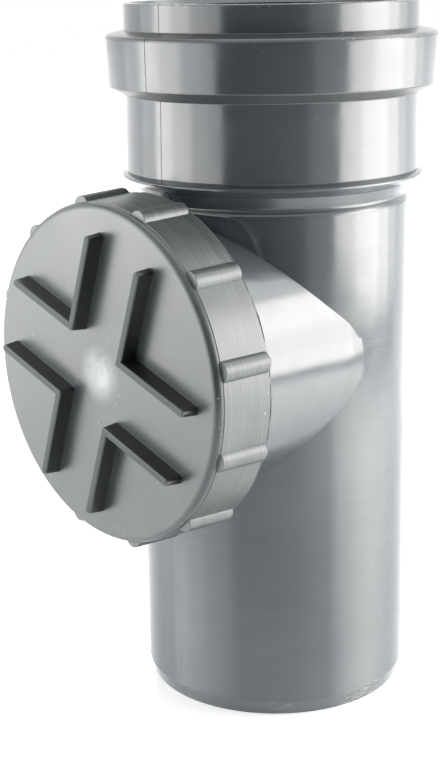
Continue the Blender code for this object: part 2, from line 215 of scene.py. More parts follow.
lip_foot = rim_height - LIP_HEIGHT
bead_top = lip_foot - BEAD_TOP_RISE
bead_low = bead_top - BEAD_HEIGHT
socket_top = bead_low - BEAD_SLOPE_HEIGHT
socket_foot = socket_top - SOCKET_LENGTH
foot_ring_top = socket_foot - FOOT_GROOVE_HEIGHT
foot_ring_low = foot_ring_top - FOOT_RING_HEIGHT
cone_top = foot_ring_low - FOOT_RING_SLOPE_HEIGHT
neck_height = cone_top - CONE_HEIGHT

flare_start = PIPE_RADIUS + BRANCH_STANDOFF
flare_end = flare_start + COLLAR_FLARE_LENGTH
cap_face = cap_reach - FACE_RIB_HEIGHT
cap_inner_face = cap_face - CAP_DISC_THICKNESS
ledge_reach = cap_face - CAP_EDGE_FILLET - CAP_LEDGE_DEPTH
thread_base_half = THREAD_CREST_WIDTH / 2 + THREAD_FLANK_RUN
thread_length = THREAD_TURNS * THREAD_PITCH
collar_thread_start = collar_rim - THREAD_RIM_GAP - thread_base_half - thread_length
cap_thread_start = cap_rear + THREAD_MOUTH_GAP + thread_base_half

STANDING = Matrix.Translation((0.0, axis_y, 0.0))
ALONG_BRANCH = Matrix.Translation((0.0, axis_y, branch_height)) @ Matrix.Rotation(math.radians(90.0), 4, "X")
Z_AXIS = (0.0, 0.0, 1.0)
ORIGIN = (0.0, 0.0, 0.0)


def rounded(corners):
    """Points of an outline whose corners are (radius, height, fillet), each fillet drawn as an arc."""
    points = []
    for index, (radius, height, fillet) in enumerate(corners):
        corner = Vector((radius, height))
        if fillet == 0.0:
            points.append(tuple(corner))
            continue
        before = Vector(corners[index - 1][:2]) - corner
        after = Vector(corners[(index + 1) % len(corners)][:2]) - corner
        half_angle = before.angle(after) / 2
        middle = (before.normalized() + after.normalized()).normalized()
        centre = corner + middle * (fillet / math.sin(half_angle))
        tangent = fillet / math.tan(half_angle)
        start = corner + before.normalized() * tangent - centre
        end = corner + after.normalized() * tangent - centre
        sweep = start.angle_signed(end)
        steps = max(2, round(ARC_STEPS * abs(sweep) / math.radians(90.0)))
        for step in range(steps + 1):
            arm = Matrix.Rotation(-sweep * step / steps, 2) @ start
            points.append(tuple(centre + arm))
    return points


def finish_mesh(name, bm):
    """A mesh with merged seams and outward faces, made from a bmesh that is then freed."""
    bmesh.ops.remove_doubles(bm, verts=bm.verts, dist=WELD)
    bmesh.ops.dissolve_degenerate(bm, edges=bm.edges, dist=WELD)
    bmesh.ops.recalc_face_normals(bm, faces=bm.faces)
    mesh = bpy.data.meshes.new(name)
    bm.to_mesh(mesh)
    bm.free()
    return mesh


def add_object(name, bm, place):
    """An object at the origin whose mesh is the bmesh, moved to its place."""
    bmesh.ops.transform(bm, matrix=place, verts=bm.verts)
    obj = bpy.data.objects.new(name, finish_mesh(name, bm))
    bpy.context.scene.collection.objects.link(obj)
    return obj


def turned(corners, closed=False):
    """A solid of revolution about its own Z. An open outline starts and ends on the axis."""
    bm = bmesh.new()
    verts = [bm.verts.new((radius, 0.0, height)) for radius, height in rounded(corners)]
    edges = [bm.edges.new(pair) for pair in zip(verts, verts[1:])]
    if closed:
        edges.append(bm.edges.new((verts[-1], verts[0])))
    bmesh.ops.spin(
        bm, geom=verts + edges, cent=ORIGIN, axis=Z_AXIS, angle=math.tau, steps=ROUND_STEPS, use_merge=True
    )
    return bm


def parting_slab(corners):
    """A thin slab in the mould's parting plane, a hair proud of a turned outline on both sides."""
    bm = bmesh.new()
    outline = []
    for radius, height in rounded(corners):
        proud = SEAM_PROUD if height > neck_height else SEAM_FAINT_PROUD
        if radius > 0.0:
            outline.append((radius + proud, height))
    outline += [(-radius, height) for radius, height in reversed(outline)]
    face = bm.faces.new([bm.verts.new((-SEAM_WIDTH / 2, across, height)) for across, height in outline])
    raised = bmesh.ops.extrude_face_region(bm, geom=[face])["geom"]
    moved = [item for item in raised if isinstance(item, bmesh.types.BMVert)]
    bmesh.ops.translate(bm, verts=moved, vec=(SEAM_WIDTH, 0.0, 0.0))
    return bm


def thread_ridge(root, crest, start, first_turn):
    """A right-hand thread along its own Z that sinks into the wall and fades out at both ends."""
    outward = 1.0 if crest > root else -1.0
    floor = root - outward * THREAD_SINK
    floor_half = thread_base_half + THREAD_FLANK_RUN * THREAD_SINK / THREAD_DEPTH
    crest_half = THREAD_CREST_WIDTH / 2
    shoulder = crest - outward * THREAD_BEVEL
    section = (
        (floor, -floor_half),
        (shoulder, -crest_half),
        (crest, THREAD_BEVEL - crest_half),
        (crest, crest_half - THREAD_BEVEL),
        (shoulder, crest_half),
        (floor, floor_half),
    )
    bm = bmesh.new()
    face = bm.faces.new([bm.verts.new((radius, 0.0, start + along)) for radius, along in section])
    steps = round(THREAD_TURNS * THREAD_STEPS)
    bmesh.ops.spin(
        bm,
        geom=[face] + list(face.edges) + list(face.verts),
        cent=ORIGIN,
        axis=Z_AXIS,
        dvec=(0.0, 0.0, thread_length / steps),
        angle=math.tau * THREAD_TURNS,
        steps=steps,
    )
    for vert in bm.verts:
        part_turn = math.atan2(vert.co.y, vert.co.x) / math.tau
        along_turns = (vert.co.z - start) / THREAD_PITCH
        turns = part_turn + round(along_turns - part_turn)
        to_end = max(0.0, min(turns, THREAD_TURNS - turns))
        fade = min(1.0, THREAD_FADE_FLOOR + to_end / THREAD_FADE_TURNS)
        radius = vert.co.xy.length
        vert.co.xy *= (floor + (radius - floor) * fade) / radius
    rotate_all(bm, 360.0 * first_turn)
    return bm


def rotate_all(bm, degrees):
    """Turns the whole bmesh around Z."""
    bmesh.ops.rotate(bm, verts=bm.verts, cent=ORIGIN, matrix=Matrix.Rotation(math.radians(degrees), 3, "Z"))


def spun_copies(bm, count):
    """Repeats the whole bmesh count times around Z."""
    bmesh.ops.spin(
        bm,
        geom=list(bm.verts) + list(bm.edges) + list(bm.faces),
        cent=ORIGIN,
        axis=Z_AXIS,
        angle=math.tau * (count - 1) / count,
        steps=count - 1,
        use_duplicate=True,
    )


def bevel_edges(bm, edges, offset, segments):
    """Rounds the given edges."""
    bmesh.ops.bevel(
        bm, geom=edges, offset=offset, affect="EDGES", segments=segments, profile=0.5, material=-1
    )


def bevel_corners(bm, corners, radius):
    """Rounds right-angled corners of a flat face."""
    bmesh.ops.bevel(
        bm, geom=corners, offset=radius, affect="VERTICES", segments=ARC_STEPS, profile=0.5, material=-1
    )


def grip_ribs():
    """The half-round ribs around the skirt, which lean with its draft, round behind and crisp in front."""
    bm = bmesh.new()
    length = ledge_reach - cap_rear
    middle = cap_rear + length / 2
    bmesh.ops.create_cone(
        bm,
        cap_ends=True,
        segments=GRIP_STEPS,
        radius1=GRIP_RADIUS,
        radius2=GRIP_RADIUS,
        depth=length,
        matrix=Matrix.Translation((grip_crest - GRIP_RADIUS, 0.0, middle)),
    )
    front_verts = [vert for vert in bm.verts if vert.co.z > middle]
    bmesh.ops.translate(bm, verts=front_verts, vec=(-CAP_DRAFT, 0.0, 0.0))
    rear_edges = [edge for edge in bm.edges if all(vert.co.z < middle for vert in edge.verts)]
    bevel_edges(bm, rear_edges, GRIP_END_FILLET, ARC_STEPS)
    front_edges = [edge for edge in bm.edges if all(vert.co.z > ledge_reach - WELD for vert in edge.verts)]
    bevel_edges(bm, front_edges, GRIP_FRONT_BEVEL, 2)
    spun_copies(bm, GRIP_COUNT)
    rotate_all(bm, CAP_REST_TURN)
    return bm


def face_ribs():
    """The right-angled ribs on the cap's face, with a filleted foot and a rounded top."""
    arm = Vector((math.cos(math.radians(45.0)), math.sin(math.radians(45.0)), 0.0))
    other = Vector((arm.x, -arm.y, 0.0))
    grow = FACE_RIB_FOOT_FILLET + FACE_RIB_DRAFT + FACE_RIB_TOP_BEVEL
    width = FACE_RIB_TOP_WIDTH + 2 * grow
    length = FACE_RIB_LENGTH + 2 * grow
    vertex = Vector((FACE_RIB_VERTEX, 0.0, cap_face - FACE_RIB_SINK)) - grow * (arm + other)
    bm = bmesh.new()
    outline = (
        vertex,
        vertex + length * other,
        vertex + length * other + width * arm,
        vertex + width * other + width * arm,
        vertex + length * arm + width * other,
        vertex + length * arm,
    )
    top = bm.faces.new([bm.verts.new(point) for point in outline])
    ends = [top.verts[index] for index in (1, 2, 4, 5)]
    bevel_corners(bm, [top.verts[0]], grow + FACE_RIB_CORNER)
    bevel_corners(bm, ends, grow + FACE_RIB_END_CORNER)
    top = next(iter(bm.faces))
    raised = bmesh.ops.extrude_face_region(bm, geom=[top])["geom"]
    top = next(item for item in raised if isinstance(item, bmesh.types.BMFace))
    bmesh.ops.translate(bm, verts=top.verts, vec=(0.0, 0.0, FACE_RIB_SINK))
    quarter = math.radians(90.0)
    rises = []
    for radius, outward in ((FACE_RIB_FOOT_FILLET, False), (FACE_RIB_TOP_BEVEL, True)):
        for index in range(ARC_STEPS):
            low = quarter * index / ARC_STEPS
            high = quarter * (index + 1) / ARC_STEPS
            across = radius * (math.sin(high) - math.sin(low))
            along = radius * (math.cos(low) - math.cos(high))
            rises.append((along, across) if outward else (across, along))
        if not outward:
            straight = FACE_RIB_HEIGHT - FACE_RIB_FOOT_FILLET - FACE_RIB_TOP_BEVEL
            rises.append((FACE_RIB_DRAFT, straight))
    for inwards, upwards in rises:
        top.normal_update()
        bmesh.ops.inset_region(bm, faces=[top], thickness=inwards, depth=upwards, use_even_offset=True)
    spun_copies(bm, FACE_RIB_COUNT)
    rotate_all(bm, CAP_REST_TURN + 180.0 / GRIP_COUNT)
    return bm


def combine(obj, place, steps):
    """Adds or cuts each bmesh in turn and keeps each result as the object's own mesh."""
    for operation, bm in steps:
        tool = add_object("tool", bm, place)
        modifier = obj.modifiers.new("cut", "BOOLEAN")
        modifier.operation = operation
        modifier.object = tool
        modifier.solver = "EXACT"
        depsgraph = bpy.context.evaluated_depsgraph_get()
        result = bmesh.new()
        result.from_mesh(obj.evaluated_get(depsgraph).data)
        obj.modifiers.clear()
        obj.data = finish_mesh(obj.name, result)
        bpy.data.objects.remove(tool)


def flash_grain(point):
    """How far the flash of a mould falls short at a point, from 0 to about 1."""
    swing = noise.noise(point / FLASH_GRAIN) + noise.noise(point / (5 * FLASH_GRAIN))
    return max(0.0, min(1.0, FLASH_SHORTFALL + swing))


def ragged_rim(bm, height, depth):
    """Wears the corner of a turned rim down by an uneven amount."""
    for vert in bm.verts:
        if vert.co.z > height:
            vert.co.z -= depth * flash_grain(vert.co)


def ragged_skirt(bm):
    """Makes the thin flash around the rear edge of the cap's skirt uneven."""
    proud_radius = skirt_radius + CAP_FLASH_PROUD / 2
    for vert in bm.verts:
        radius = vert.co.xy.length
        if radius > proud_radius:
            vert.co.xy *= (radius - CAP_FLASH_PROUD * flash_grain(vert.co)) / radius


def dress(obj, node, body, material):
    """Puts a piece in place of its CAD node, on its body, smooth and with its finish."""
    obj.data.materials.clear()
    obj.data.materials.append(material)
    obj.data.shade_smooth()
    obj.data.set_sharp_from_angle(angle=math.radians(SHARP_ANGLE))
    # Wide faces keep their own direction, so that a fillet doesn't bend the reflections beside it
    shading = obj.modifiers.new("even_shading", "WEIGHTED_NORMAL")
    shading.mode = "FACE_AREA"
    shading.keep_sharp = True
    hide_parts(node)
    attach(obj, body)


def rings(radius, low, high):
    """Extra rings on a straight wall, so that its smooth shading stays true beside a cut."""
    return [(radius, low + (high - low) * index / RING_COUNT, 0.0) for index in range(RING_COUNT + 1)]


def pipe_outside():
    """The outline of the barrel, cone, foot ring, socket, seal bead and lip."""
    return (
        (0.0, 0.0, 0.0),
        (PIPE_RADIUS - SPIGOT_CHAMFER_DEPTH, 0.0, SOFT_EDGE),
        (PIPE_RADIUS, SPIGOT_CHAMFER_HEIGHT, 3 * SOFT_EDGE),
        *rings(PIPE_RADIUS, branch_height - BRANCH_RADIUS, branch_height + BRANCH_RADIUS),
        (PIPE_RADIUS, neck_height - BARREL_TOP_DEPTH, BARREL_TOP_FILLET),
        (neck_radius, neck_height, NECK_FILLET),
        (cone_radius, cone_top, SOFT_EDGE),
        (ring_radius, foot_ring_low, SOFT_EDGE),
        (ring_radius, foot_ring_top, SOFT_EDGE),
        (socket_radius - FOOT_GROOVE_DEPTH, foot_ring_top + FOOT_GROOVE_HEIGHT / 2, 0.0),
        (socket_radius, socket_foot, 2 * SOFT_EDGE),
        (socket_radius - SOCKET_DRAFT, socket_top, 2 * SOFT_EDGE),
        (bead_radius - BEAD_DRAFT, bead_low, 3 * SOFT_EDGE),
        (bead_radius, bead_top, BEAD_TOP_FILLET),
        (lip_radius, lip_foot, SOFT_EDGE),
        (lip_radius, rim_height, 2 * SOFT_EDGE),
        (0.0, rim_height, 0.0),
    )


def pipe_inside():
    """The outline of the flow bore, the stop, the socket bore, the seal groove and the mouth."""
    entry_slope = LIP_ENTRY / LIP_ENTRY_HEIGHT
    mouth_radius = socket_bore + LIP_ENTRY + OVERRUN * entry_slope
    return (
        (0.0, -OVERRUN, 0.0),
        (bore_radius, -OVERRUN, 0.0),
        *rings(bore_radius, branch_height - BRANCH_RADIUS, branch_height + branch_bore),
        (bore_radius, cone_top, SOFT_EDGE),
        (socket_bore, cone_top + STOP_HEIGHT, SOFT_EDGE),
        (socket_bore, socket_top + GROOVE_FLOOR_WALL, SOFT_EDGE),
        (groove_radius, bead_low + GROOVE_FLOOR_WALL, 2 * SOFT_EDGE),
        (groove_radius, bead_top - GROOVE_ROOF_WALL, 2 * SOFT_EDGE),
        (socket_bore, lip_foot - GROOVE_ROOF_WALL, SOFT_EDGE),
        (socket_bore, rim_height - LIP_ENTRY_HEIGHT, SOFT_EDGE),
        (mouth_radius, rim_height + OVERRUN, 0.0),
        (0.0, rim_height + OVERRUN, 0.0),
    )


def branch_outside():
    """The outline of the branch tube and the collar that it flares into."""
    return (
        (0.0, BRANCH_ROOT, 0.0),
        (BRANCH_RADIUS - BRANCH_TIP_TAPER, BRANCH_ROOT, 0.0),
        (BRANCH_RADIUS, BRANCH_ROOT + BRANCH_TIP_LENGTH, BRANCH_TIP_FILLET),
        *rings(BRANCH_RADIUS, BRANCH_ROOT + 1.5 * BRANCH_TIP_LENGTH, PIPE_RADIUS),
        (BRANCH_RADIUS, flare_start, COLLAR_FLARE_FILLET),
        (collar_radius, flare_end, SOFT_EDGE),
        (collar_radius, collar_rim - COLLAR_CHAMFER, 0.0),
        (collar_radius - COLLAR_CHAMFER, collar_rim, 0.0),
        (0.0, collar_rim, 0.0),
    )


def branch_inside():
    """The outline of the branch's bore, which widens inside the collar."""
    bore_start = BRANCH_ROOT + BRANCH_WALL
    return (
        (0.0, bore_start, 0.0),
        (branch_bore, bore_start, 0.0),
        (branch_bore, flare_start + COLLAR_BORE_FLARE_DELAY, SOFT_EDGE),
        (collar_bore, flare_end + COLLAR_BORE_FLARE_DELAY, SOFT_EDGE),
        (collar_bore, collar_rim + OVERRUN, 0.0),
        (0.0, collar_rim + OVERRUN, 0.0),
    )


def make_pipe_shell(material):
    """The moulded access pipe with its branch, collar thread, socket, bores and parting line."""
    outside = turned(pipe_outside())
    ragged_rim(outside, rim_height - SOFT_EDGE, RIM_FLASH)
    shell = add_object("pipe_shell", outside, STANDING)
    combine(shell, STANDING, [("UNION", parting_slab(pipe_outside()))])
    collar_thread = thread_ridge(collar_radius, collar_crest, collar_thread_start, 0.0)
    combine(
        shell,
        ALONG_BRANCH,
        [
            ("UNION", turned(branch_outside())),
            ("UNION", collar_thread),
        ],
    )
    combine(shell, STANDING, [("DIFFERENCE", turned(pipe_inside()))])
    combine(shell, ALONG_BRANCH, [("DIFFERENCE", turned(branch_inside()))])
    dress(shell, "pipe_body", "pipe", material)


def make_lip_ring(material):
    """The rubber ring that fills the groove of the socket, with its lip towards the bore."""
    groove_width = groove_radius - socket_bore

    def floor_at(radius):
        share = (radius - socket_bore) / groove_width
        return socket_top + GROOVE_FLOOR_WALL + BEAD_SLOPE_HEIGHT * share + SEAT_GAP

    def roof_at(radius):
        share = (radius - socket_bore) / groove_width
        return lip_foot - GROOVE_ROOF_WALL - BEAD_TOP_RISE * share - SEAT_GAP

    back = groove_radius - SEAT_GAP
    front = back - RING_BACK
    tip = PIPE_RADIUS - RING_LIP_SQUEEZE
    tip_height = floor_at(front) + RING_LIP_RISE
    corners = (
        (front, floor_at(front), 2 * SOFT_EDGE),
        (back, floor_at(back), 2 * SOFT_EDGE),
        (back, roof_at(back), 2 * SOFT_EDGE),
        (front, roof_at(front), 2 * SOFT_EDGE),
        (front, roof_at(front) - RING_SHOULDER, 4 * SOFT_EDGE),
        (tip, tip_height, 2 * SOFT_EDGE),
        (tip, tip_height - RING_LIP_EDGE, 2 * SOFT_EDGE),
    )
    ring = add_object("lip_ring", turned(corners, closed=True), STANDING)
    dress(ring, "socket_seal", "pipe", material)


def make_flat_gasket(material):
    """The flat rubber ring between the collar's rim and the cap."""
    inner = collar_bore - GASKET_OVERLAP
    outer = cap_bore - SEAT_GAP
    corners = (
        (inner, gasket_rear, GASKET_EDGE),
        (outer, gasket_rear, GASKET_EDGE),
        (outer, gasket_front, GASKET_EDGE),
        (inner, gasket_front, GASKET_EDGE),
    )
    gasket = add_object("flat_gasket", turned(corners, closed=True), ALONG_BRANCH)
    dress(gasket, "cap_gasket", "gasket", material)


def cap_outside():
    """The outline of the cap's skirt, ledge, edge and face, with the gate's dimple in the middle."""
    face_radius = skirt_front_radius - CAP_LEDGE
    skirt_slope = CAP_DRAFT / (ledge_reach - cap_rear - CAP_FLASH_REACH)
    return (
        (0.0, cap_rear, 0.0),
        (skirt_radius + CAP_FLASH_PROUD, cap_rear, 0.0),
        (skirt_radius + CAP_FLASH_PROUD, cap_rear + CAP_FLASH_REACH / 2, 0.0),
        (skirt_radius, cap_rear + CAP_FLASH_REACH, 0.0),
        (skirt_radius - CAP_FLASH_REACH * skirt_slope, cap_rear + 2 * CAP_FLASH_REACH, 0.0),
        (skirt_front_radius, ledge_reach, SOFT_EDGE / 2),
        (face_radius, ledge_reach + CAP_LEDGE_DEPTH / 2, SOFT_EDGE / 4),
        (face_radius, cap_face, CAP_EDGE_FILLET),
        (GATE_DIMPLE_RADIUS, cap_face, 0.0),
        (GATE_DIMPLE_RADIUS / 2, cap_face - GATE_DIMPLE_DEPTH, GATE_DIMPLE_RADIUS),
        (0.0, cap_face - GATE_DIMPLE_DEPTH, 0.0),
    )


def cap_inside():
    """The outline of the space inside the cap, with a chamfered mouth."""
    return (
        (0.0, cap_rear - OVERRUN, 0.0),
        (cap_bore + CAP_MOUTH_CHAMFER + OVERRUN, cap_rear - OVERRUN, 0.0),
        (cap_bore, cap_rear + CAP_MOUTH_CHAMFER, 0.0),
        (cap_bore, cap_inner_face, CAP_INNER_FILLET),
        (0.0, cap_inner_face, 0.0),
    )


def make_cap_shell(material):
    """The screw cap: skirt with grip ribs, face with angled ribs, and the inner thread."""
    outside = turned(cap_outside())
    ragged_skirt(outside)
    cap = add_object("cap_shell", outside, ALONG_BRANCH)
    # The cap's thread runs half a pitch behind the collar's, so that the two mesh at rest
    half_pitch_behind = collar_thread_start - THREAD_PITCH / 2 - THREAD_PLAY_SHIFT
    first_turn = (cap_thread_start - half_pitch_behind) / THREAD_PITCH
    combine(
        cap,
        ALONG_BRANCH,
        [
            ("UNION", grip_ribs()),
            ("UNION", face_ribs()),
            ("DIFFERENCE", turned(cap_inside())),
            ("UNION", thread_ridge(cap_bore, cap_crest, cap_thread_start, first_turn)),
        ],
    )
    dress(cap, "screw_cap", "cap", material)


# The share of a spot's radius that it fills evenly
SPOT_CORE = 0.3


def linear(hex_colour):
    """A hex sRGB colour as linear red, green, blue and alpha."""
    channels = [int(hex_colour[start : start + 2], 16) / 255 for start in (1, 3, 5)]
    return (*[c / 12.92 if c <= 0.04045 else ((c + 0.055) / 1.055) ** 2.4 for c in channels], 1.0)


def add(tree, kind, inputs, **settings):
    """Adds a shader node with its settings. An input is a value, or the socket or node that feeds it."""
    made = tree.nodes.new("ShaderNode" + kind)
    for name, value in settings.items():
        setattr(made, name, value)
    for key, value in inputs.items():
        if isinstance(value, bpy.types.Node):
            value = value.outputs[0]
        if isinstance(value, bpy.types.NodeSocket):
            tree.links.new(value, made.inputs[key])
        else:
            made.inputs[key].default_value = value
    return made


def blank_material(name):
    """A new material and its empty tree."""
    material = bpy.data.materials.new(name)
    material.use_nodes = True
    material.node_tree.nodes.clear()
    return material, material.node_tree


def grain(tree, place, size, low, high, detail=0.0, stretch=(1.0, 1.0, 1.0)):
    """Patches of a real size in metres, from 0 to 1, cut out of noise between two of its levels."""
    stretched = add(tree, "Mapping", {"Vector": place, "Scale": stretch})
    cloud = add(tree, "TexNoise", {"Vector": stretched, "Scale": 1.0 / size, "Detail": detail})
    levels = {"Value": cloud, "From Min": low, "From Max": high}
    return add(tree, "MapRange", levels, interpolation_type="SMOOTHSTEP")


def band(tree, value, low, high, soft):
    """1 where a coordinate lies between two values, with soft ends, and 0 elsewhere."""
    start = {"Value": value, "From Min": low - soft, "From Max": low}
    end = {"Value": value, "From Min": high, "From Max": high + soft, "To Min": 1.0, "To Max": 0.0}
    rise = add(tree, "MapRange", start, interpolation_type="SMOOTHSTEP")
    fall = add(tree, "MapRange", end, interpolation_type="SMOOTHSTEP")
    return add(tree, "Math", {0: rise, 1: fall}, operation="MULTIPLY")


def spot(tree, place, middle, radius):
    """1 around a point of the piece, fading to 0 at a distance."""
    away = add(tree, "VectorMath", {0: place, 1: middle}, operation="DISTANCE").outputs["Value"]
    levels = {"From Min": SPOT_CORE * radius, "From Max": radius, "To Min": 1.0, "To Max": 0.0}
    return add(tree, "MapRange", {"Value": away, **levels}, interpolation_type="SMOOTHSTEP")


def strongest(tree, *layers):
    """The strongest of several layers, each of which is the product of its masks and its share."""
    result = None
    for first, *others in layers:
        layer = first
        for other in others:
            layer = add(tree, "Math", {0: layer, 1: other}, operation="MULTIPLY")
        if result is not None:
            layer = add(tree, "Math", {0: result, 1: layer}, operation="MAXIMUM")
        result = layer
    return result


def painted(tree, colour, *layers):
    """A colour with others laid over it in turn. Each comes with its masks and its share."""
    for tint, *masks in layers:
        mask = strongest(tree, masks)
        colour = add(tree, "MixRGB", {"Fac": mask, "Color1": colour, "Color2": linear(tint)})
    return colour


def finish(tree, colour, dull, roughness, lifts, reflection):
    """The shader of a piece. The mask turns it from smooth to rough, and each lift raises its surface
    where a mask is 1, by a distance in metres."""
    inputs = {}
    for mask, distance in lifts:
        inputs["Normal"] = add(tree, "Bump", {"Height": mask, "Distance": distance, **inputs})
    smooth, rough = roughness
    inputs["Base Color"] = colour
    inputs["Roughness"] = add(tree, "MapRange", {"Value": dull, "To Min": smooth, "To Max": rough})
    shader = add(tree, "BsdfPrincipled", {**inputs, **reflection})
    add(tree, "OutputMaterial", {"Surface": shader})


# Both plastics: how they reflect, and the sizes of the ripple, the orange peel, the dust and the marks
PLASTIC_REFLECTION = {"IOR": 1.5, "Specular IOR Level": 1.0}
RIPPLE_SIZE = 0.022
RIPPLE_DEPTH = 0.00004
PEEL_SIZE = 0.0020
PEEL_DEPTH = 0.000001
MARK_DEPTH = 0.00004
MARK_SHARE = 0.7
DUST_SIZE = 0.0009
DUST_DRIFT_SIZE = 0.018
DUST_SHARE = 0.25

# The pipe: flow marks, haze and level streaks
FLOW_SIZE = 0.040
HAZE_SIZE = 0.008
HAZE_SHARE = 0.2
DRAG_SIZE = 0.0018
DRAG_STRETCH = (0.03, 0.03, 1.0)
DRAG_SHARE = 0.08
DRAG_HAZE = 0.35
PIPE_ROUGHNESS = (0.15, 0.50)

# The pipe: painted shade and wear, where they lie and how strongly they show
SHOULDER_WIDTH = 0.0010
SHOULDER_SHADE = 0.35
UNDER_BEAD_SHADE = 0.5
NICK_SIZE = 0.0014
NICK_STRETCH = (1.0, 1.0, 2.0)
NICK_DRIFT_SIZE = 0.020
NICK_SHARE = 0.4
RIM_WEAR_HEIGHT = 0.0012
SCUFF_HEIGHT = 0.0062
SCUFF_SIZE = 0.0022
SCUFF_STRETCH = (0.5, 0.5, 4.0)
TICK_SIZE = 0.0024
TICK_STRETCH = (0.35, 0.35, 3.0)
TICK_SHARE = 0.07
TICKS_ACROSS = (0.045, 0.060)
TICKS_HEIGHT = (0.118, 0.158)

# Each knock on the spigot has its place from the foot of the pipe's axis, its radius and its strength
KNOCKS = (((0.0535, -0.003, 0.0055), 0.017, 0.7), ((0.0405, -0.036, 0.0025), 0.008, 0.3))

# The pipe: its parting line, drawn as a dark line of painted shade
PARTING_LINE_HALF = 0.00018
PARTING_LINE_SOFT = 0.0001
PARTING_LINE_WANDER = 0.0003
PARTING_LINE_WANDER_SIZE = 0.010
PARTING_SHADE_SHARE = 0.8

# The cap: mottle, streaks round the skirt, the painted highlight and nicks on the face, and painted shade on
# the ribs
MOTTLE_SIZE = 0.020
MOTTLE_HAZE = 0.17
SKIRT_HAZE = 0.27
CAP_ROUGHNESS = (0.28, 0.70)
STREAK_SIZE = 0.0014
STREAK_STRETCH = (0.02, 1.0, 0.02)
STREAK_PATCH_SIZE = 0.016
STREAK_SHARE = 0.30
STREAK_RELIEF = 0.05
PAINTED_HIGHLIGHT_CLOUD_SIZE = 0.009
PAINTED_HIGHLIGHT_RADIUS = 0.013
PAINTED_HIGHLIGHT_SHIFT = -0.001
PAINTED_HIGHLIGHT_SHARE = 0.75
CAP_NICK_SIZE = 0.0010
CAP_NICK_DRIFT_SIZE = 0.015
RIB_EDGE_DEPTH = 0.0010
RIB_FOOT_GAP = 0.0002
RIB_TOP_DEPTH = 0.00004
RIB_SIDE_SHADE = 0.95
RIB_TOP_SHADE = 0.5

# The rubber
BLOOM_SIZE = 0.006
BLOOM_ROUGHNESS = 0.2
RUBBER_GRAIN_SIZE = 0.0005
RUBBER_GRAIN_DEPTH = 0.00001


def moulded_wall(tree, place, marks):
    """The slow ripple of a moulded wall, its fine orange peel, and marks that stand on it."""
    ripple = grain(tree, place, RIPPLE_SIZE, 0.0, 1.0, 2.0)
    peel = grain(tree, place, PEEL_SIZE, 0.0, 1.0, 1.0)
    return (ripple, RIPPLE_DEPTH), (peel, PEEL_DEPTH), (marks, MARK_DEPTH)


